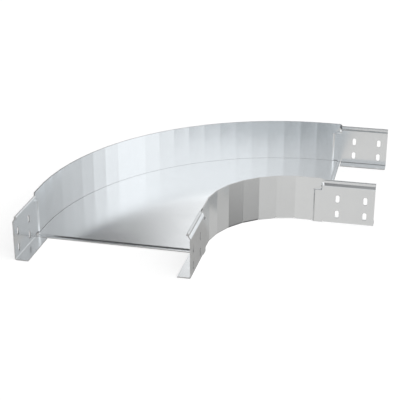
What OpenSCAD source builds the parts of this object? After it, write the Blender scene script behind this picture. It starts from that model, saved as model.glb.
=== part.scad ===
// Horizontal 90 degree bend for a cable tray, formed from galvanised sheet steel.
// A flat floor lies between two upright walls. Each wall is one sheet, pressed in many
// small facets around the curve, and carries a connector on each end: a plate stepped
// outward so that the next tray slides in behind it and is bolted through the slots.

/* [Channel] */
// Clear width between the two walls
channel_width = 300; // [200:5:500]
// Height of the walls
wall_height = 85; // [83:1:120]
// Radius from the centre of the bend to the outside of the inner wall
inner_radius = 148; // [120:1:300]
// Thickness of the sheet
sheet = 2; // [1:0.1:2.5]
// Inside radius of the folds
fold_radius = 1.5; // [1:0.1:2.5]

/* [Facets] */
// Number of press bends around the inner wall
inner_bends = 7; // [5:1:9]
// Number of press bends around the outer wall
outer_bends = 21; // [15:1:25]
// Width of the relief cut at the foot of each press bend
relief_width = 2.5; // [2:0.5:4]
// Height of that relief cut
relief_height = 4.5; // [4:0.5:8]

/* [Connectors] */
// Straight wall between the curve and the outward step
end_straight = 17; // [12:0.5:40]
// Length of each connector plate beyond the outward step
connector_length = 107; // [95:0.5:160]
// How far the connector plate is stepped outward
connector_step = 2; // [1:0.1:3]
// Width of the flange folded inward at the foot of the walls
flange_width = 24; // [15:0.5:40]
// Plain plate between the outward step and the flange and rim
rim_setback = 15; // [14:0.5:25]

/* [Rim] */
// Height at which the rim starts to lean inward
rim_start = 70.5; // [69:0.5:71]
// Height of the top of the rim
rim_top = 82; // [81.5:0.5:84.5]
// How far the rim stands inside the plate
rim_step = 3.4; // [2.6:0.1:4]
// Lean of the sheet between the plate and the rim, in degrees
rim_lean = 40; // [35:1:45]
// Depth of the folded edge inside the rim
rim_lip = 2.8; // [1:0.1:4]
// Inside radius of the folded edge
hem_radius = 0.2; // [0.1:0.1:0.4]

/* [Shoulders] */
// Length of plain wall above the outward step, before it runs over into the rim
shoulder_length = 9.5; // [6:0.5:12]
// Height of the slit under that length of wall
slit_height = 63; // [60:0.5:64]
// Width of the slit where it starts
slit_width = 2; // [1.5:0.5:3]
// Width of the slit below the end of the shoulder
slit_mouth = 3.5; // [3:0.5:5]
// Width of the slit where it turns up to the rim
slit_turn = 0.5; // [0.4:0.1:1]

/* [Slots] */
// Width of each slot
slot_width = 7; // [5:0.5:9]
// Length of each slot
slot_length = 15; // [10:0.5:20]
// Height of the centres of the lower slots
slot_height = 17.5; // [15:0.5:20]
// Distance between the lower and the upper slots
slot_rise = 30; // [22:0.5:32]
// Distance between the two upright rows of slots
slot_pitch = 50; // [30:1:55]
// Distance from the outer row to the end of the connector
slot_margin = 17; // [12:0.5:25]

/* [Floor] */
// Distance from the outward step to the step down at the end of the floor
floor_run = 4.5; // [4:0.5:6]
// Length of the lip beyond the step down
floor_lip = 4.5; // [3:0.5:5]
// Clearance between the floor and the walls
floor_clearance = 1; // [0.4:0.1:2]

/* [Hidden] */
$fn = 64;
// Straight stretches that stand for the round of each fold
arc_stops = 8;

// Allowance by which a cutter passes through the sheet it cuts
cut_over = 1;
// Radius of the outside of a fold, and the height that it takes at the foot of a wall
fold_outside = fold_radius + sheet;
// Radii of the faces that look into the channel
inner_face = inner_radius + sheet;
outer_face = inner_face + channel_width;
// Length along the sheet that a two-bend step takes
joggle_run = joggle_length(connector_step);
// Distances from the end of the curve
joggle_end = end_straight + joggle_run;
shoulder_run = joggle_run + shoulder_length;
shoulder_end = end_straight + shoulder_run;
rim_end = joggle_end + rim_setback;
reach = joggle_end + connector_length;
// Slope and height of the sheet that leans from the plate to the rim
lean_run = (rim_step - (fold_radius + fold_outside) * (1 - cos(rim_lean))) / sin(rim_lean);
lean_rise = (fold_radius + fold_outside) * sin(rim_lean) + lean_run * cos(rim_lean);
// How far the rim stands inside the wall
rim_inset = rim_step - connector_step;
// Place of the centre of the bend, with the origin at the middle of the part
centre_shift = (outer_face + sheet + connector_step - reach) / 2;

// Angle of each of the two bends that step a sheet sideways
function joggle_angle(step) = sign(step) * acos(1 - abs(step) / (fold_radius + fold_outside));

// Length that those two bends take
function joggle_length(step) = (fold_radius + fold_outside) * sin(abs(joggle_angle(step)));

// Corners of a faceted curve, one at each press bend
function bend_corners(radius, bends) = [
    for (i = [0 : bends - 1])
        let (a = (i + 0.5) * 90 / bends, r = radius / cos(45 / bends))
            [-r * cos(a), r * sin(a)]
];

// Faceted curve that runs straight for a length beyond each of its ends
function face_line(radius, bends, run) =
    concat([[-radius, -run]], bend_corners(radius, bends), [[run, radius]]);

// Same points in the other order
function backward(points) = [for (i = [len(points) - 1 : -1 : 0]) points[i]];

// Repeats one end of the bend at the other end
module both_ends() {
    children();
    mirror([1, 1, 0]) children();
}

// Direction across a heading, to its left
function left_of(heading) = [-sin(heading), cos(heading)];

// One face of a folded sheet seen on edge, at a distance across its thickness.
// Each step is a straight run, a turn to the left and the inside radius of the turn.
function fold_line(steps, across, at = [0, 0], heading = 0, i = 0) =
    i == len(steps) ? [] :
    let (
        run = steps[i][0],
        turn = steps[i][1],
        bend = turn > 0 ? -steps[i][2] - sheet : steps[i][2],
        from = at + run * [cos(heading), sin(heading)],
        centre = from - bend * left_of(heading),
        stops = turn == 0 ? 0 : arc_stops
    )
    concat(
        [at + across * left_of(heading)],
        run > 0 ? [from + across * left_of(heading)] : [],
        [for (k = [1 : 1 : stops - 1]) centre + (bend + across) * left_of(heading + turn * k / stops)],
        fold_line(steps, across, centre + bend * left_of(heading + turn), heading + turn, i + 1)
    );

// Folded sheet seen on edge
module folded_sheet(steps) {
    polygon(concat(fold_line(steps, 0), backward(fold_line(steps, sheet))));
}

// Band between two faceted lines
module faceted_band(line_1, line_2, height) {
    linear_extrude(height) polygon(concat(line_1, backward(line_2)));
}

// Places a shape in the edge view of a wall, from its foot inward, along a stretch of one end
module along_end(face, side, from, to) {
    translate([-(face + side * sheet), -from, 0])
        mirror([side < 0 ? 1 : 0, 0, 0])
            rotate([90, 0, 0]) linear_extrude(to - from) children();
}

// Edge view of a connector: flange, plate, inward lean and folded rim
module connector_section() {
    rim_run = rim_top - rim_start - lean_rise - hem_radius - sheet;
    translate([flange_width, 0]) mirror([1, 0])
        folded_sheet([
            [flange_width - fold_outside, 90, fold_radius],
            [rim_start - fold_outside, rim_lean, fold_radius],
            [lean_run, -rim_lean, fold_radius],
            [rim_run, 180, hem_radius],
            [rim_lip, 0, 0]
        ]);
}

// Places the plan view of one end, drawn along it and outward from the wall's face
module end_plan(face, side) {
    translate([-face, 0]) mirror([side < 0 ? 1 : 0, 0]) rotate(-90) mirror([0, 1]) children();
}

// Straight wall that steps sideways at a distance and runs on to a length
function stepped_run(from, step, length) = [
    [from, joggle_angle(step), fold_radius],
    [0, -joggle_angle(step), fold_radius],
    [length - from - joggle_length(step), 0, 0]
];

// Plate at one end of a wall, stepped outward, up to a length
module end_plate(face, side, length) {
    end_plan(face, side) folded_sheet(stepped_run(end_straight, connector_step, length));
}

// One end of a wall below its shoulder, with the connector formed on it
module wall_end(face, side) {
    linear_extrude(slit_height) end_plate(face, side, rim_end - relief_width);
    translate([0, 0, fold_outside])
        linear_extrude(slit_height - fold_outside) end_plate(face, side, rim_end + cut_over);
    difference() {
        along_end(face + side * connector_step, side, shoulder_end + slit_turn, reach) connector_section();
        // plain plate and lean in front of the flange and the folded rim
        side_view(face, shoulder_end, 4 * flange_width)
            translate([0, -slit_height - cut_over])
                square([rim_end - shoulder_end, slit_height]);
        translate([0, 0, slit_height])
            linear_extrude(wall_height)
                end_plan(face, side)
                    polygon(concat(
                        fold_line(stepped_run(shoulder_end, -rim_inset, rim_end), 0),
                        [[rim_end, -flange_width], [0, -flange_width]]
                    ));
    }
}

// Upright slot with round ends, cut through along X
module upright_slot(depth) {
    straight = slot_length - slot_width;
    cube([depth, slot_width, straight], center = true);
    for (end = [-1, 1])
        translate([0, 0, end * straight / 2])
            rotate([0, 90, 0]) cylinder(h = depth, d = slot_width, center = true);
}

// Slots through one connector, in two upright rows
module connector_slots(face, side) {
    for (row = [0, 1], column = [0, 1])
        translate([-face - side * connector_step, slot_margin + column * slot_pitch - reach,
                   slot_height + row * slot_rise])
            upright_slot(4 * sheet);
}

// Places the side view of one end, drawn along it and upward from the slit's lower edge, in a wall
module side_view(face, from, depth) {
    translate([-face, -from, slit_height])
        rotate([90, 0, -90]) linear_extrude(depth, center = true) children();
}

// Wall above the outward step of one end, which steps inward and runs into the rim
module shoulder(face, side) {
    translate([0, 0, slit_height])
        linear_extrude(wall_height - slit_height)
            end_plan(face, side) folded_sheet(stepped_run(shoulder_end, -rim_inset, rim_end + cut_over));
}

// Slit under the shoulder of one end, which turns up to the lean, and the free space below the lean
module shoulder_slit(face) {
    root = slit_width / 2;
    rim_run = rim_end - end_straight;
    rim_base = rim_start + lean_rise - slit_height;
    wall_crossing = rim_start + lean_rise * connector_step / rim_step - slit_height;
    side_view(face, end_straight, 4 * sheet)
        polygon(concat(
            [
                [rim_run + 2 * cut_over, 0],
                [rim_run + 2 * cut_over, rim_base],
                [rim_run, rim_base],
                [shoulder_run, wall_crossing],
                [shoulder_run, slit_mouth]
            ],
            [for (k = [0 : arc_stops]) let (a = 180 * k / arc_stops) [-root * sin(a), root + root * cos(a)]]
        ));
}

// Slope from the top of the shoulder of one end down to the rim
module shoulder_slope(face) {
    rim_run = rim_end - end_straight;
    hem_base = rim_top - hem_radius - sheet - slit_height;
    side_view(face, end_straight, 4 * sheet)
        polygon([
            [shoulder_run, wall_height - slit_height],
            [rim_run, rim_top - slit_height],
            [rim_run, hem_base],
            [rim_run + 2 * cut_over, hem_base],
            [rim_run + 2 * cut_over, wall_height + cut_over - slit_height],
            [shoulder_run, wall_height + cut_over - slit_height]
        ]);
}

// Relief cuts at the foot of a wall, one at each press bend
module bend_reliefs(face, bends) {
    length = 2 * (flange_width + cut_over);
    round_height = relief_height - relief_width / 2;
    for (corner = bend_corners(face, bends))
        translate([corner.x, corner.y, 0])
            rotate(atan2(corner.y, corner.x)) {
                translate([-length / 2, -relief_width / 2, -cut_over])
                    cube([length, relief_width, round_height + cut_over]);
                translate([0, 0, round_height])
                    rotate([0, 90, 0]) cylinder(h = length, d = relief_width, center = true);
            }
}

// One wall with the tabs that carry the floor, and both connectors
module side_wall(face, side, bends) {
    tab_run = end_straight - relief_width;
    difference() {
        union() {
            faceted_band(face_line(face, bends, end_straight),
                         face_line(face + side * sheet, bends, end_straight), wall_height);
            faceted_band(face_line(face + side * sheet / 2, bends, tab_run),
                         face_line(face + side * (sheet - flange_width), bends, tab_run), sheet);
            both_ends() shoulder(face, side);
        }
        both_ends() {
            shoulder_slit(face);
            shoulder_slope(face);
        }
        bend_reliefs(face, bends);
    }
    difference() {
        both_ends() wall_end(face, side);
        both_ends() connector_slots(face, side);
    }
}

// Floor sheet, lying on the tabs of both walls, with a lip stepped down at each end
module floor_plate() {
    near = inner_face + floor_clearance;
    far = outer_face - floor_clearance;
    floor_end = joggle_end + floor_run;
    angle = joggle_angle(sheet);
    lip_start = floor_end + joggle_length(sheet);
    lip_near = inner_face - connector_step + floor_clearance;
    lip_far = outer_face + connector_step - floor_clearance;
    color("gainsboro")
        translate([centre_shift, -centre_shift, 0]) {
            translate([0, 0, sheet])
                faceted_band(face_line(near, inner_bends, floor_end),
                             face_line(far, outer_bends, floor_end), sheet);
            both_ends() {
                // step down across the end of the floor
                translate([-far, -end_straight, sheet])
                    rotate([90, 0, 90]) mirror([1, 0])
                        linear_extrude(far - near)
                            folded_sheet([
                                [floor_end - end_straight, -angle, fold_radius],
                                [0, angle, fold_radius],
                                [floor_lip, 0, 0]
                            ]);
                // lip that reaches both connectors
                translate([-lip_far, -lip_start - floor_lip, 0])
                    cube([lip_far - lip_near, floor_lip, sheet]);
            }
        }
}

module inner_wall() {
    color("silver")
        translate([centre_shift, -centre_shift, 0]) side_wall(inner_face, -1, inner_bends);
}

module outer_wall() {
    color("lightgray")
        translate([centre_shift, -centre_shift, 0]) side_wall(outer_face, 1, outer_bends);
}

floor_plate();
inner_wall();
outer_wall();
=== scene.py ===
import math
from functools import partial

import bmesh
import bpy
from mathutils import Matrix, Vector, geometry


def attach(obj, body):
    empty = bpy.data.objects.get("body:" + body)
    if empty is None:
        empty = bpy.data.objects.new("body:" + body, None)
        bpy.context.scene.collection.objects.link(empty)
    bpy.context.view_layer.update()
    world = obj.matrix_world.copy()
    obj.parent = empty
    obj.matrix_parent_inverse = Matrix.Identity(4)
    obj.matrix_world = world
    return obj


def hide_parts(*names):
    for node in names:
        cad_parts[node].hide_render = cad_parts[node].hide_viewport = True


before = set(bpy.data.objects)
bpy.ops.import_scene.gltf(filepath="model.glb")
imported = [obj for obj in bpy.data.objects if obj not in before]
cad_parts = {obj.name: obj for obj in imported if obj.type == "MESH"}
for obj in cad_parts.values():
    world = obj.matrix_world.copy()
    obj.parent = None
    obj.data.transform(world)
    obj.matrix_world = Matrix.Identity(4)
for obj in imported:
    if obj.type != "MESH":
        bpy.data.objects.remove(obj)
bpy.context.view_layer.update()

# Floor plate
# One flat sheet of galvanised steel, cut to a quarter ring with short straight ends and laid on the
# tabs of both walls, where hidden spot welds hold it. Each end is pressed down by one sheet, so that
# the floor of the next tray lies on it flush. Sizes are in millimetres, those of materials in metres.
mm = 0.001
sheet = 2.0
fold = 2.5                          # radius of a fold at the middle of the sheet
inner_face, outer_face = 150.0, 450.0
inner_bends, outer_bends = 7, 21
bend_centre = (163.0, -163.0)
floor_gap = 0.4
floor_end = 25.9
floor_lip = 4.95
floor_fold = 1.5
floor_slope = math.radians(53)
step = 2.0
floor_level = 1.5 * sheet           # middle of the floor, which lies on tabs of one sheet
past_edge = 1.0                     # how far marks and reliefs run past the edge of a blank
arc_cuts = 8


def facet_corners(radius, bends):
    """Corners of a quarter turn of flat facets that touch a circle."""
    corner = radius / math.cos(math.pi / 4 / bends)
    turns = [(i + 0.5) * math.pi / 2 / bends for i in range(bends)]
    return [(-corner * math.cos(a), corner * math.sin(a)) for a in turns]


def inside(point, loop):
    """Whether a point lies within a closed loop."""
    x, y = point
    odd = False
    for (x0, y0), (x1, y1) in zip(loop, loop[1:] + loop[:1]):
        if (y0 > y) != (y1 > y) and x < x0 + (x1 - x0) * (y - y0) / (y1 - y0):
            odd = not odd
    return odd


def cut_blank(name, outline, cuts, marks):
    """Flat blank with its cut-outs; marks are the lines along which it is folded later."""
    same_point = 1e-5
    points, edges = [], []
    for loop in [outline] + cuts:
        first = len(points)
        points += loop
        edges += [(first + i, first + (i + 1) % len(loop)) for i in range(len(loop))]
    for start, end in marks:
        edges.append((len(points), len(points) + 1))
        points += [start, end]
    corners = [Vector(p) for p in points]
    spots, _, faces, *_ = geometry.delaunay_2d_cdt(corners, edges, [], 0, same_point)
    kept = []
    for face in faces:
        middle = sum((spots[i] for i in face), Vector((0, 0))) / len(face)
        if inside(middle, outline) and not any(inside(middle, loop) for loop in cuts):
            kept.append(list(face))
    used = sorted({i for face in kept for i in face})
    place = {old: new for new, old in enumerate(used)}
    mesh = bpy.data.meshes.new(name)
    mesh.from_pydata([(*spots[i], 0) for i in used], [], [[place[i] for i in face] for face in kept])
    flat = mesh.attributes.new("flat", "FLOAT_VECTOR", "POINT")
    for i, old in enumerate(used):
        flat.data[i].vector = (spots[old].x * mm, spots[old].y * mm, 0)
    piece = bpy.data.objects.new(name, mesh)
    bpy.context.scene.collection.objects.link(piece)
    return piece


def add(tree, kind, inputs=None, **settings):
    """New node, with its settings made and its inputs set or linked."""
    node = tree.nodes.new(kind)
    for key, value in settings.items():
        setattr(node, key, value)
    for key, value in (inputs or {}).items():
        if isinstance(value, bpy.types.NodeSocket):
            tree.links.new(value, node.inputs[key])
        else:
            node.inputs[key].default_value = value
    return node


def calc(tree, operation, *values):
    return add(tree, "ShaderNodeMath", dict(enumerate(values)), operation=operation).outputs[0]


def vector_calc(tree, operation, *values):
    return add(tree, "ShaderNodeVectorMath", dict(enumerate(values)), operation=operation).outputs[0]


def scaled(tree, arrow, factor):
    return add(tree, "ShaderNodeVectorMath", {0: arrow, "Scale": factor}, operation="SCALE").outputs[0]


def vector(tree, x=0.0, y=0.0, z=0.0):
    return add(tree, "ShaderNodeCombineXYZ", {"X": x, "Y": y, "Z": z}).outputs[0]


def split(tree, place):
    return add(tree, "ShaderNodeSeparateXYZ", {0: place}).outputs


def blend(tree, factor, start, end):
    return add(tree, "ShaderNodeMix", {"Factor": factor, 2: start, 3: end}).outputs[0]


def blend_colour(tree, factor, start, end):
    return add(tree, "ShaderNodeMix", {"Factor": factor, 6: start, 7: end}, data_type="RGBA").outputs[2]


def fade(tree, value, start, end, low=0.0, high=1.0, kind="LINEAR"):
    """Turns a value that goes from start to end into one that goes from low to high."""
    limits = {"Value": value, "From Min": start, "From Max": end, "To Min": low, "To Max": high}
    return add(tree, "ShaderNodeMapRange", limits, interpolation_type=kind).outputs[0]


def new_tree(name, inputs, outputs):
    """Geometry Nodes tree with named inputs and outputs."""
    tree = bpy.data.node_groups.new(name, "GeometryNodeTree")
    for side, sockets in (("INPUT", inputs), ("OUTPUT", outputs)):
        for label, kind in sockets.items():
            tree.interface.new_socket(label, in_out=side, socket_type="NodeSocket" + kind)
    return tree, tree.nodes.new("NodeGroupInput").outputs, tree.nodes.new("NodeGroupOutput").inputs


def forming_tree(name, lengths, counts=()):
    """Tree that takes a blank, its sizes and a material, and gives the formed sheet."""
    inputs = {"Geometry": "Geometry"}
    inputs.update(dict.fromkeys(lengths, "Float"))
    inputs.update(dict.fromkeys(counts, "Int"))
    inputs["Material"] = "Material"
    return new_tree(name, inputs, {"Geometry": "Geometry"})


def by_index(tree, corners):
    """The corner that belongs to each point's index."""
    index = tree.nodes.new("GeometryNodeInputIndex").outputs[0]
    switch = add(tree, "GeometryNodeIndexSwitch", {"Index": index}, data_type="VECTOR")
    while len(switch.index_switch_items) < len(corners):
        switch.index_switch_items.new()
    for i, corner in enumerate(corners):
        tree.links.new(corner, switch.inputs[i + 1])
    return switch.outputs[0]


def bent_line(tree, count, place, radius):
    """Line through a number of points, with each corner rounded to a radius."""
    index = tree.nodes.new("GeometryNodeInputIndex").outputs[0]
    points = add(tree, "GeometryNodePoints", {"Count": count, "Position": place}).outputs[0]
    line = add(tree, "GeometryNodePointsToCurves", {"Points": points, "Weight": index}).outputs[0]
    sizes = {"Curve": line, "Radius": radius, "Count": arc_cuts, "Limit Radius": True}
    return add(tree, "GeometryNodeFilletCurve", sizes, mode="POLY").outputs[0]


def along(tree, line, length):
    """Place on a line at a length from its start."""
    return add(tree, "GeometryNodeSampleCurve", {"Curves": line, "Length": length}, mode="LENGTH",
               use_all_curves=True).outputs["Position"]


# Two bends that shift a sheet sideways, as distances along and across for a distance on the flat sheet
beyond_step = 500.0                 # straight sheet after the step, longer than any end
pressed_step, given, result = new_tree(
    "pressed_step", dict.fromkeys(("Distance", "Step", "Fold radius", "Slope"), "Float"),
    dict.fromkeys(("Along", "Across"), "Float"))
work, point = partial(calc, pressed_step), partial(vector, pressed_step)
reach = work("MULTIPLY", given["Fold radius"], work("TANGENT", work("MULTIPLY", given["Slope"], 0.5)))
turn = work("ADD", reach, work("DIVIDE", given["Step"], work("TANGENT", given["Slope"])))
corners = [point(), point(reach), point(turn, given["Step"]),
           point(work("ADD", turn, beyond_step), given["Step"])]
line = bent_line(pressed_step, len(corners), by_index(pressed_step, corners), given["Fold radius"])
spot = split(pressed_step, along(pressed_step, line, given["Distance"]))
before = work("MINIMUM", given["Distance"], 0.0)
pressed_step.links.new(work("ADD", before, spot["X"]), result["Along"])
pressed_step.links.new(spot["Y"], result["Across"])


def press(tree, distance, given):
    """Step pressed into a sheet, as distances along and across."""
    node = add(tree, "GeometryNodeGroup", node_tree=pressed_step)
    tree.links.new(distance, node.inputs["Distance"])
    for key in ("Step", "Fold radius", "Slope"):
        tree.links.new(given[key], node.inputs[key])
    return node.outputs["Along"], node.outputs["Across"]


def finish_tree(tree, shape, place, material, result):
    """Moves the blank's points to their places, in metres, and gives the sheet its material."""
    middle = (bend_centre[0] * mm, bend_centre[1] * mm, 0)
    moved = add(tree, "GeometryNodeSetPosition", {"Geometry": shape, "Position": place}).outputs[0]
    metres = {"Geometry": moved, "Scale": (mm, mm, mm), "Translation": middle}
    metres = add(tree, "GeometryNodeTransform", metres).outputs[0]
    real = add(tree, "GeometryNodeRealizeInstances", {"Geometry": metres}).outputs[0]
    coated = add(tree, "GeometryNodeSetMaterial", {"Geometry": real, "Material": material}).outputs[0]
    tree.links.new(coated, result["Geometry"])


floor_press, given, result = forming_tree(
    "floor_press", ("Floor end", "Level", "Step", "Fold radius", "Slope"))
work = partial(calc, floor_press)
spot = split(floor_press, floor_press.nodes.new("GeometryNodeInputPosition").outputs[0])
beyond_a = work("SUBTRACT", work("MULTIPLY", spot["Y"], -1.0), given["Floor end"])
beyond_b = work("SUBTRACT", spot["X"], given["Floor end"])
along_a, down_a = press(floor_press, beyond_a, given)
along_b, down_b = press(floor_press, beyond_b, given)
place = vector(floor_press, work("ADD", given["Floor end"], along_b),
               work("MULTIPLY", work("ADD", given["Floor end"], along_a), -1.0),
               work("SUBTRACT", work("SUBTRACT", given["Level"], down_a), down_b))
finish_tree(floor_press, given["Geometry"], place, given["Material"], result)


def new_metal(name):
    """Bare metal, with its node tree and the inputs of its shader."""
    material = bpy.data.materials.new(name)
    material.use_nodes = True
    shader = material.node_tree.nodes["Principled BSDF"]
    shader.inputs["Metallic"].default_value = 1
    return material, material.node_tree, shader.inputs


def from_mesh(tree, name):
    return add(tree, "ShaderNodeAttribute", attribute_name=name, attribute_type="GEOMETRY").outputs


def noise(tree, place, size, detail=2.0):
    sizes = {"Vector": place, "Scale": 1 / size, "Detail": detail}
    return add(tree, "ShaderNodeTexNoise", sizes).outputs[0]


def spread(tree, value, low, high):
    """Turns the middle of a noise's range into values from low to high."""
    return fade(tree, value, 0.3, 0.7, low, high)


def zinc_skin():
    """Zinc on rolled steel: faint crystals, streaks along the roll, dull zinc beside cut edges, and painted
    shade in the floor's pressed steps.
    """
    bright_zinc, dull_zinc = (0.878, 0.902, 0.92, 1), (0.66, 0.672, 0.68, 1)
    crystals_per_metre, borders_per_metre, border_drift = 150.0, 120.0, 0.006
    cloud_size, streak_size, streak_stretch = 0.05, 0.0016, 0.03
    # the last of these sets how far the painted shade in the floor's steps darkens the zinc
    crystal_tone, cloud_tone, streak_tone, pressed_tone = 0.014, 0.05, 0.02, 0.45
    crystal_rough, worn_rough = 0.012, 0.15
    edge_band, edge_patch = 0.0007, 0.004
    edge_starts, edge_full = 0.995, 0.9         # cosine between the plain and the rounded normal
    dent_size, dent_depth, streak_depth = 0.03, 0.00002, 0.06
    material, tree, skin = new_metal("zinc")
    work = partial(calc, tree)
    on_sheet = from_mesh(tree, "flat")["Vector"]
    # crystals of 4 to 10 mm, each a little lighter or darker than the next
    drift = add(tree, "ShaderNodeTexNoise", {"Vector": on_sheet, "Scale": borders_per_metre}).outputs[1]
    drifted = vector_calc(tree, "ADD", on_sheet, scaled(tree, drift, border_drift))
    crystal = add(tree, "ShaderNodeTexVoronoi", {"Vector": drifted, "Scale": crystals_per_metre},
                  voronoi_dimensions="2D").outputs["Color"]
    crystal = add(tree, "ShaderNodeSeparateColor", {0: crystal}).outputs
    cloud = noise(tree, on_sheet, cloud_size)
    rolled = vector_calc(tree, "MULTIPLY", on_sheet, (streak_stretch, 1, 1))
    streak = noise(tree, rolled, streak_size, detail=3.0)
    tone = 1.0
    for pattern, depth in ((crystal[0], crystal_tone), (cloud, cloud_tone), (streak, streak_tone)):
        tone = work("ADD", tone, work("MULTIPLY", work("SUBTRACT", pattern, 0.5), depth))
    # zinc within a millimetre of a cut edge
    rounded = add(tree, "ShaderNodeBevel", {"Radius": edge_band}, samples=4).outputs[0]
    plain = tree.nodes.new("ShaderNodeNewGeometry").outputs["Normal"]
    turned = add(tree, "ShaderNodeVectorMath", {0: rounded, 1: plain}, operation="DOT_PRODUCT")
    worn = fade(tree, turned.outputs["Value"], edge_starts, edge_full)
    worn = work("MULTIPLY", worn, spread(tree, noise(tree, on_sheet, edge_patch), 0.3, 1.0))
    colour = blend_colour(tree, worn, bright_zinc, dull_zinc)
    # painted shade along the floor's pressed steps, darkest in the middle of each step
    pressed = work("MULTIPLY", from_mesh(tree, "pressed")["Fac"], spread(tree, streak, 0.8, 1.0))
    tone = work("MULTIPLY", tone, work("SUBTRACT", 1.0, work("MULTIPLY", pressed, pressed_tone)))
    tree.links.new(scaled(tree, colour, tone), skin["Base Color"])
    rough = work("MULTIPLY", crystal[1], crystal_rough)
    rough = work("ADD", spread(tree, cloud, 0.185, 0.215), rough)
    rough = work("ADD", rough, work("MULTIPLY", worn, worn_rough))
    tree.links.new(rough, skin["Roughness"])
    relief = work("ADD", noise(tree, on_sheet, dent_size), work("MULTIPLY", streak, streak_depth))
    dents = add(tree, "ShaderNodeBump", {"Height": relief, "Strength": 1.0, "Distance": dent_depth})
    tree.links.new(dents.outputs[0], skin["Normal"])
    return material


def sheared_steel():
    """Bare cut through the sheet, with a torn grain, greyed in places by zinc that crept over it."""
    bare_steel, greyed_steel = (0.55, 0.556, 0.562, 1), (0.7, 0.708, 0.715, 1)
    grain_size, grain_depth, crept_size = 0.0006, 0.0001, 0.006
    slit_from, slit_above = 0.079, 0.081        # heights between which punched turns into slit
    material, tree, cut = new_metal("sheared_edge")
    place = tree.nodes.new("ShaderNodeTexCoord").outputs["Object"]
    grain = noise(tree, place, grain_size, detail=3.0)
    crept = spread(tree, noise(tree, place, crept_size), 0.0, 1.0)
    tree.links.new(blend_colour(tree, crept, bare_steel, greyed_steel), cut["Base Color"])
    # the top of a wall is the smooth slit edge of the strip, and punched edges are rougher
    slit_edge = fade(tree, split(tree, place)["Z"], slit_from, slit_above)
    rough = blend(tree, slit_edge, spread(tree, grain, 0.45, 0.6), spread(tree, grain, 0.14, 0.22))
    tree.links.new(rough, cut["Roughness"])
    torn = add(tree, "ShaderNodeBump", {"Height": grain, "Strength": 0.6, "Distance": grain_depth})
    tree.links.new(torn.outputs[0], cut["Normal"])
    return material


zinc = zinc_skin()
sheared_edge = sheared_steel()


def make_plain(piece):
    """Turns a piece and its modifiers into one plain mesh."""
    bpy.context.view_layer.update()
    shaped = piece.evaluated_get(bpy.context.evaluated_depsgraph_get())
    mesh = bpy.data.meshes.new_from_object(shaped)
    piece.modifiers.clear()
    old = piece.data
    piece.data = mesh
    bpy.data.meshes.remove(old)


def form(piece, tree, sizes, node):
    """Folds a blank, gives it the sheet's thickness and lets it stand for its node."""
    sharp_edge = math.radians(35)
    piece.data.materials.append(zinc)
    piece.data.materials.append(sheared_edge)
    shaping = piece.modifiers.new("form", "NODES")
    shaping.node_group = tree
    for item in tree.interface.items_tree:
        if item.in_out == "INPUT" and item.name in sizes:
            shaping[item.identifier] = sizes[item.name]
    thickness = piece.modifiers.new("thickness", "SOLIDIFY")
    thickness.thickness = sheet * mm
    thickness.offset = 0
    thickness.material_offset_rim = 1
    make_plain(piece)
    skin = bmesh.new()
    skin.from_mesh(piece.data)
    bmesh.ops.recalc_face_normals(skin, faces=skin.faces)
    skin.to_mesh(piece.data)
    skin.free()
    piece.data.shade_smooth()
    piece.data.set_sharp_from_angle(angle=sharp_edge)
    flat_faces = piece.modifiers.new("flat faces", "WEIGHTED_NORMAL")
    flat_faces.keep_sharp = True
    flat_faces.weight = 100
    make_plain(piece)
    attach(piece, "root")
    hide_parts(node)


floor_bend = floor_fold * floor_slope
floor_drop = (step - 2 * floor_fold * (1 - math.cos(floor_slope))) / math.sin(floor_slope)
near, far = inner_face + floor_gap, outer_face - floor_gap
lip_near, lip_far = near - step, far + step
lip_start = floor_end + 2 * floor_bend + floor_drop
lip_end = lip_start + floor_lip
outline = [(-lip_far, -lip_end), (-lip_far, -lip_start), (-far, -lip_start)]
outline += facet_corners(far, outer_bends)
outline += [(lip_start, far), (lip_start, lip_far), (lip_end, lip_far)]
outline += [(lip_end, lip_near), (lip_start, lip_near), (lip_start, near)]
outline += facet_corners(near, inner_bends)[::-1]
outline += [(-near, -lip_start), (-lip_near, -lip_start), (-lip_near, -lip_end)]
marks = []
for bend_at in (floor_end, floor_end + floor_bend + floor_drop):
    for i in range(arc_cuts + 1):
        across = bend_at + floor_bend * i / arc_cuts
        marks.append(((-lip_far - past_edge, -across), (-lip_near + past_edge, -across)))
        marks.append(((across, lip_near - past_edge), (across, lip_far + past_edge)))
floor_plate = cut_blank("floor_plate_sheet", outline, [], marks)
# painted shade along each pressed step of the floor: none on the flat, full inside the step
pressed = floor_plate.data.attributes.new("pressed", "FLOAT", "POINT")
full_rise = 2.5                     # how fast the painted shade rises from either end of the step
for i, spot in enumerate(floor_plate.data.vertices):
    share = (max(spot.co.x, -spot.co.y) - floor_end) / (lip_start - floor_end)
    pressed.data[i].value = min(1.0, max(0.0, full_rise * min(share, 1 - share)))
form(floor_plate, floor_press, {
    "Floor end": floor_end, "Level": floor_level, "Step": step, "Fold radius": floor_fold,
    "Slope": floor_slope, "Material": zinc}, "floor_plate")

# Outer wall
# One long sheet, pressed in 21 small bends around the outside of the curve. Tabs folded inward along
# its foot carry the floor, with a relief cut at each bend. Both ends are stepped outward into a slotted
# connector with a flange at the foot, and a rim that leans inward and is folded over at the top.
wall_height = 85.0
press_radius = 6.0
relief_width, relief_height = 2.5, 4.5
end_straight = 17.0
step_slope = math.acos(1 - step / (2 * fold))
step_flat = 2 * fold * step_slope   # length of flat sheet that the step takes up
step_run = 2 * fold * math.sin(step_slope)
connector_length = 107.0
box_gap = 0.02                      # keeps the ends inside the part's box
rim_setback = 15.0
flange_width = 24.0
rim_start, rim_top, rim_step = 70.5, 82.0, 3.4
rim_lean = math.radians(33)
rim_lip, hem = 2.8, 1.2
shoulder_run = 13.5
slit_height, slit_width, slit_mouth = 63.0, 1.0, 2.0
slit_corner = 0.4
hem_notch = 0.6                     # cut beside the folded edge, where the rim starts
flange_slit = 0.8                   # cut beside each end of a fold at the foot
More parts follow.
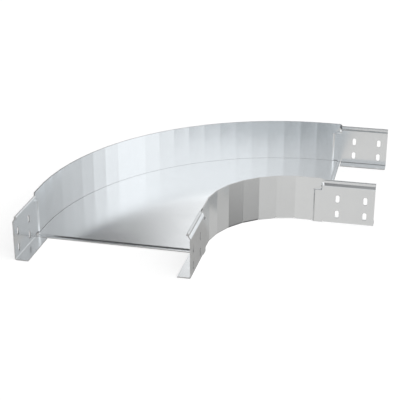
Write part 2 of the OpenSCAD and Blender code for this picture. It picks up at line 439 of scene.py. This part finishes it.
slot_width, slot_length, slot_height, slot_rise = 7.0, 15.0, 17.5, 30.0
slot_pitch, slot_margin = 50.0, 17.0
run_out = 200.0                     # straight line beyond the curve, longer than any end
just_off = 0.02                     # distance at which the line's direction is taken
fold_top = sheet / 2 + fold
flange_flat = flange_width - sheet / 2 - fold
fold_flat = fold * math.pi / 2
twist_cuts = 12
bulge, bulge_level = 1.3, 73.0      # sheet stretched where the shoulder runs over into the rim
bulge_width, bulge_length = 7.0, 10.0

wall_fold, given, result = forming_tree(
    "wall_fold",
    ("Radius", "Outward", "Press radius", "End straight", "Step", "Slope", "Fold radius", "Sheet", "Flange",
     "Rim start", "Rim top", "Rim step", "Rim lean", "Hem radius", "Rim lip", "Shoulder"), ("Bends",))
work, point = partial(calc, wall_fold), partial(vector, wall_fold)


def choose(kind, switch, otherwise, chosen):
    return add(wall_fold, "GeometryNodeSwitch", {"Switch": switch, "False": otherwise, "True": chosen},
               input_type=kind).outputs[0]


# view from above, with one corner at each bend and a straight line before and after the curve
index = wall_fold.nodes.new("GeometryNodeInputIndex").outputs[0]
turn = work("DIVIDE", math.pi / 2, given["Bends"])
angle = work("MULTIPLY", work("SUBTRACT", index, 0.5), turn)
corner = work("DIVIDE", given["Radius"], work("COSINE", work("MULTIPLY", turn, 0.5)))
on_curve = point(work("MULTIPLY", work("MULTIPLY", corner, -1.0), work("COSINE", angle)),
                 work("MULTIPLY", corner, work("SINE", angle)))
first = point(work("MULTIPLY", given["Radius"], -1.0), -run_out)
last = point(run_out, given["Radius"])
is_first = work("LESS_THAN", index, 0.5)
is_last = work("GREATER_THAN", index, work("ADD", given["Bends"], 0.5))
place = choose("VECTOR", is_first, choose("VECTOR", is_last, on_curve, last), first)
plan = bent_line(wall_fold, work("ADD", given["Bends"], 2.0), place, given["Press radius"])

# edge view of a connector, from the inner edge of the flange up to the folded rim
half_sheet = work("MULTIPLY", given["Sheet"], 0.5)
flange_in = work("SUBTRACT", given["Flange"], half_sheet)
lean_reach = work("MULTIPLY", given["Fold radius"], work("TANGENT", work("MULTIPLY", given["Rim lean"], 0.5)))
lean_low = work("ADD", given["Rim start"], lean_reach)
lean_high = work("ADD", lean_low, work("DIVIDE", given["Rim step"], work("TANGENT", given["Rim lean"])))
hem_level = work("SUBTRACT", given["Rim top"], half_sheet)
hem_in = work("MULTIPLY_ADD", given["Hem radius"], 2.0, given["Rim step"])
hem_end = work("SUBTRACT", work("SUBTRACT", hem_level, given["Hem radius"]), given["Rim lip"])
edge_view = [point(flange_in, 0.0, half_sheet), point(0.0, 0.0, half_sheet), point(0.0, 0.0, lean_low),
             point(given["Rim step"], 0.0, lean_high), point(given["Rim step"], 0.0, hem_level),
             point(hem_in, 0.0, hem_level), point(hem_in, 0.0, hem_end)]
wide_corners = 4                    # corners with the plain fold radius; those after them fold the hem
in_hem = work("GREATER_THAN", index, wide_corners - 0.5)
radius = choose("FLOAT", in_hem, given["Fold radius"], given["Hem radius"])
section = bent_line(wall_fold, len(edge_view), by_index(wall_fold, edge_view), radius)


def from_blank(name, kind="FLOAT"):
    return add(wall_fold, "GeometryNodeInputNamedAttribute", {"Name": name}, data_type=kind).outputs[0]


# place of each point of the blank
spot = split(wall_fold, wall_fold.nodes.new("GeometryNodeInputPosition").outputs[0])
upright = from_blank("upright", "BOOLEAN")
formed = from_blank("formed")
unrolled = from_blank("unrolled")
stretched = from_blank("stretched")
length = add(wall_fold, "GeometryNodeCurveLength", {"Curve": plan}).outputs[0]
middle = work("MULTIPLY", length, 0.5)
step_at = work("ADD", work("SUBTRACT", middle, run_out), given["End straight"])
beyond = work("SUBTRACT", work("ABSOLUTE", spot["X"]), step_at)
stepped_along, stepped_across = press(wall_fold, beyond, given)
# the shoulder above the slit isn't stepped, and meets the stepped plate again where the slit ends
drawn_in = work("MULTIPLY", beyond, given["Shoulder"])
shoulder_along = work("MINIMUM", beyond, work("MAXIMUM", drawn_in, stepped_along))
run = blend(wall_fold, formed, shoulder_along, stepped_along)
distance = work("MULTIPLY_ADD", work("SIGN", spot["X"]), work("ADD", step_at, run), middle)
on_line = along(wall_fold, plan, distance)
ahead = along(wall_fold, plan, work("ADD", distance, just_off))
behind = along(wall_fold, plan, work("SUBTRACT", distance, just_off))
forward = vector_calc(wall_fold, "NORMALIZE", vector_calc(wall_fold, "SUBTRACT", ahead, behind))
across = vector_calc(wall_fold, "CROSS_PRODUCT", (0, 0, 1), forward)
flat_to_section = work("SUBTRACT", work("SUBTRACT", flange_in, half_sheet),
                       work("MULTIPLY", given["Fold radius"], 2 - math.pi / 2))
height = work("SUBTRACT", spot["Y"], unrolled)
folded = along(wall_fold, section, work("ADD", height, flat_to_section))
folded = split(wall_fold, choose("VECTOR", upright, folded, point(0.0, 0.0, height)))
shift = work("MULTIPLY", formed, work("SUBTRACT", stepped_across, folded["X"]))
shift = work("MINIMUM", work("ADD", shift, stretched), given["Step"])
level = blend(wall_fold, formed, spot["Y"], work("ADD", folded["Z"], unrolled))
pushed = scaled(wall_fold, across, work("MULTIPLY", given["Outward"], shift))
place = vector_calc(wall_fold, "ADD", on_line, pushed)
place = vector_calc(wall_fold, "ADD", place, point(0.0, 0.0, level))
finish_tree(wall_fold, given["Geometry"], place, given["Material"], result)


def arc(centre, radius, start, end, cuts):
    """Points of an arc from one angle to another, in degrees."""
    turns = [math.radians(start + (end - start) * i / cuts) for i in range(cuts + 1)]
    return [(centre[0] + radius * math.cos(a), centre[1] + radius * math.sin(a)) for a in turns]


def mirrored(loop):
    return [(-x, y) for x, y in loop[::-1]]


def ease(share):
    """Goes from 0 to 1 with a soft start and end."""
    share = min(max(share, 0.0), 1.0)
    return share * share * (3 - 2 * share)


def side_wall(name, radius, bends, outward):
    """Cuts the blank of a wall, marks its folds and forms it; outward is the side of its step."""
    hair = 0.01
    turn = math.pi / 2 / bends
    facet = 2 * radius * math.tan(turn / 2) - 2 * press_radius * math.tan(turn / 2) + press_radius * turn
    curve = (bends - 1) / 2 * facet + press_radius * turn / 2 + (radius - press_radius) * math.tan(turn / 2)
    step_at = curve + end_straight
    stepped = step_at + step_flat
    stretch = step_flat - step_run
    slit_end = step_at + shoulder_run + stretch
    rim_at = stepped + rim_setback
    end = stepped + connector_length - box_gap
    foot = fold_top - fold_flat - flange_flat
    lean_flat = fold * rim_lean
    lean_run = (rim_step - 2 * fold * (1 - math.cos(rim_lean))) / math.sin(rim_lean)
    lean_rise = 2 * fold * math.sin(rim_lean) + lean_run * math.cos(rim_lean)
    hem_at = rim_start + 2 * lean_flat + lean_run + (rim_top - rim_start - lean_rise - hem - sheet / 2)
    top = hem_at + math.pi * hem + rim_lip
    slope_end = hem_at + hem + sheet / 2        # where the shoulder's top edge comes down to the rim
    bends_at = [(i - (bends - 1) / 2) * facet for i in range(bends)]

    half_outline = [
        (step_at - relief_width, foot), (step_at - relief_width, fold_top),
        (step_at - flange_slit, fold_top), (step_at - flange_slit, 0),
        (rim_at - flange_slit, 0), (rim_at - flange_slit, fold_top), (rim_at, fold_top), (rim_at, foot),
        (end, foot), (end, top), (rim_at, top), (rim_at, hem_at),
        (rim_at - hem_notch, hem_at), (rim_at - hem_notch, slope_end), (slit_end, wall_height)]
    outline = half_outline + mirrored(half_outline)
    slit_in = slit_end - slit_corner
    slit = arc((step_at, slit_height + slit_width / 2), slit_width / 2, 90, 270, arc_cuts)
    slit += arc((slit_in, slit_height + slit_corner), slit_corner, 270, 360, arc_cuts)
    slit += arc((slit_in, slit_height + slit_mouth - slit_corner), slit_corner, 0, 90, arc_cuts)
    cuts = [slit, mirrored(slit)]
    half = relief_width / 2
    for at in bends_at:
        relief = [(at - half, foot - past_edge), (at + half, foot - past_edge)]
        cuts.append(relief + arc((at, relief_height - half), half, 0, 180, arc_cuts))
    straight = (slot_length - slot_width) / 2
    for side in (-1, 1):
        for column in (0, 1):
            for row in (0, 1):
                x = side * (end - slot_margin - column * slot_pitch)
                y = slot_height + row * slot_rise
                cuts.append(arc((x, y + straight), slot_width / 2, 0, 180, 2 * arc_cuts)
                            + arc((x, y - straight), slot_width / 2, 180, 360, 2 * arc_cuts))

    marks = []
    for bend_at in bends_at:
        for k in (-0.5, -0.25, 0, 0.25, 0.5):
            at = bend_at + k * press_radius * turn
            marks.append(((at, foot - past_edge), (at, wall_height + past_edge)))
    for side in (-1, 1):
        for k in range(2 * arc_cuts + 1):
            at = side * (step_at + step_flat * k / (2 * arc_cuts))
            marks.append(((at, -past_edge), (at, slit_height + slit_width / 2)))
        for start in (rim_start, rim_start + lean_flat + lean_run):
            for k in range(arc_cuts + 1):
                at = start + lean_flat * k / arc_cuts
                marks.append(((side * slit_end, at), (side * (end + past_edge), at)))
        for k in range(2 * arc_cuts + 1):
            at = hem_at + math.pi * hem * k / (2 * arc_cuts)
            marks.append(((side * rim_at, at), (side * (end + past_edge), at)))
        # the shoulder runs over into the rim in a smooth twist
        for k in range(twist_cuts + 1):
            at = side * (slit_end + (rim_at - slit_end) * k / twist_cuts)
            marks.append(((at, slit_height), (at, wall_height + past_edge)))
            at = slit_height + (rim_start - slit_height) * k / twist_cuts
            marks.append(((side * slit_end, at), (side * rim_at, at)))
            at = rim_start + lean_flat + lean_run * k / twist_cuts
            marks.append(((side * slit_end, at), (side * rim_at, at)))
    for k in range(arc_cuts + 1):
        at = fold_top - fold_flat * k / arc_cuts
        marks.append(((-end - past_edge, at), (end + past_edge, at)))

    piece = cut_blank(name + "_sheet", outline, cuts, marks)
    values = piece.data.attributes
    values.new("upright", "BOOLEAN", "POINT")
    for label in ("formed", "unrolled", "stretched"):
        values.new(label, "FLOAT", "POINT")
    for i, spot in enumerate(piece.data.vertices):
        s, t = abs(spot.co.x), spot.co.y
        beside_fold = step_at - flange_slit - hair < s < rim_at - flange_slit / 2 and t < slit_height
        values["upright"].data[i].value = (s < slit_end - hair and t > fold_top) or beside_fold
        over = ease((s - slit_end) / (rim_at - hem_notch - slit_end))
        down = 1 - ease((t - slit_height) / (slit_mouth + (rim_start - slit_height) * over))
        values["formed"].data[i].value = over + (1 - over) * down
        values["unrolled"].data[i].value = max(0.0, t - hem_at) if s < rim_at - hem_notch / 2 else 0.0
        sideways = 2 * (s - rim_at + bulge_width / 2) / bulge_width
        upward = 2 * (t - bulge_level) / bulge_length
        values["stretched"].data[i].value = bulge * max(0.0, 1 - sideways ** 2 - upward ** 2) ** 2
    form(piece, wall_fold, {
        "Radius": radius, "Bends": bends, "Outward": outward, "Press radius": press_radius,
        "End straight": end_straight, "Step": step, "Slope": step_slope, "Fold radius": fold,
        "Sheet": sheet, "Flange": flange_width, "Rim start": rim_start, "Rim top": rim_top,
        "Rim step": rim_step, "Rim lean": rim_lean, "Hem radius": hem, "Rim lip": rim_lip,
        "Shoulder": shoulder_run / (shoulder_run + stretch), "Material": zinc}, name)


side_wall("outer_wall", outer_face + sheet / 2, outer_bends, 1.0)

# Inner wall
# The same sheet work around the inside of the curve, in 7 wider bends. It shows its outside to the
# front, where the foot turns under in a round fold.
side_wall("inner_wall", inner_face - sheet / 2, inner_bends, -1.0)

# Studio
# A sheet of pale paper under the bend, white to the camera, which keeps the bend's soft shadow. Around it
# stand grey walls with soft-edged bright and dark cards, which the zinc mirrors, and light that comes up
# from below is a little warmer. Angles are in degrees and lengths in metres.
paper_size, paper_tone, paper_glow = 40, (0.8, 0.8, 0.8, 1), 0.65
bpy.ops.mesh.primitive_plane_add(size=paper_size)
ground = bpy.context.object
ground.name = "ground"
ground.visible_glossy = False
paper = bpy.data.materials.new("paper")
paper.use_nodes = True
tree = paper.node_tree
tree.nodes.clear()
matt = add(tree, "ShaderNodeBsdfDiffuse", {"Color": paper_tone})
to_camera = tree.nodes.new("ShaderNodeLightPath").outputs["Is Camera Ray"]
glow = add(tree, "ShaderNodeEmission", {"Strength": calc(tree, "MULTIPLY", to_camera, paper_glow)})
both = add(tree, "ShaderNodeAddShader", {0: matt.outputs[0], 1: glow.outputs[0]})
add(tree, "ShaderNodeOutputMaterial", {"Surface": both.outputs[0]})
ground.data.materials.append(paper)

walls = 0.7
cards = [
    # azimuth, elevation, full within, gone by, brightness
    ("soft box on the right", -25, 12, 25, 65, 1.05),
    ("bright middle of the box", 0, 12, 7, 19, 1.25),
    ("card behind", 100, 29, 5, 7, 1.5),
    ("card low behind on the right", 65, 12, 23, 33, 1.05),
    ("dark card behind on the left", 116, 32.5, 9.5, 12, 0.0),
    ("dark over the front", -155, 45, 20, 55, 0.0),
    ("dark strip over the front", -107, 56, 7, 19, 0.1),
    ("shade on the right", -10, -60, 10, 75, 0.4),
    ("dark ground on the right", -8, -46, 20, 25, 0.0),
    ("ground in front", -70, -66, 8, 35, 0.85),
    ("shade behind", 105, -25, 10, 55, 0.35),
    ("grey wall on the right", 60, 45, 5, 38, 0.35),
    ("dark corner low on the left", -150, -23, 8, 18, 0.25),
]
white, warm_from_below = (1, 1, 1, 1), (1.02, 1.0, 0.975, 1)
warm_starts, warm_full = 0.0, -0.25  # upward part of the direction that the light comes from
white_to_camera = 1.0
world = bpy.data.worlds.new("studio")
bpy.context.scene.world = world
world.use_nodes = True
tree = world.node_tree
tree.nodes.clear()
direction = tree.nodes.new("ShaderNodeTexCoord").outputs["Generated"]
level = walls
for name, azimuth, elevation, full, gone, brightness in cards:
    turn, tilt = math.radians(azimuth), math.radians(elevation)
    towards = (math.cos(turn) * math.cos(tilt), math.sin(turn) * math.cos(tilt), math.sin(tilt))
    facing = add(tree, "ShaderNodeVectorMath", {0: direction, 1: towards}, operation="DOT_PRODUCT",
                 label=name)
    edge, heart = math.cos(math.radians(gone)), math.cos(math.radians(full))
    cover = fade(tree, facing.outputs["Value"], edge, heart, kind="SMOOTHSTEP")
    level = blend(tree, cover, level, brightness)
to_camera = tree.nodes.new("ShaderNodeLightPath").outputs["Is Camera Ray"]
strength = blend(tree, to_camera, level, white_to_camera)
from_below = fade(tree, split(tree, direction)["Z"], warm_starts, warm_full, kind="SMOOTHSTEP")
tint = blend_colour(tree, calc(tree, "SUBTRACT", from_below, to_camera), white, warm_from_below)
background = add(tree, "ShaderNodeBackground", {"Color": tint, "Strength": strength})
add(tree, "ShaderNodeOutputWorld", {"Surface": background.outputs[0]})

view_turn, view_tilt, view_distance = math.radians(13.05), math.radians(23.354), 2.0839
looked_at = Vector((-0.04142, 0.02587, 0.0024))
lens = bpy.data.cameras.new("camera")
lens.sensor_width = 36
lens.lens = 98.07
camera = bpy.data.objects.new("camera", lens)
bpy.context.scene.collection.objects.link(camera)
back = Vector((math.sin(view_turn) * math.cos(view_tilt), -math.cos(view_turn) * math.cos(view_tilt),
               math.sin(view_tilt)))
camera.location = looked_at + back * view_distance
camera.rotation_euler = (math.pi / 2 - view_tilt, 0, view_turn)
bpy.context.scene.camera = camera
bpy.context.scene.view_settings.view_transform = "Standard"
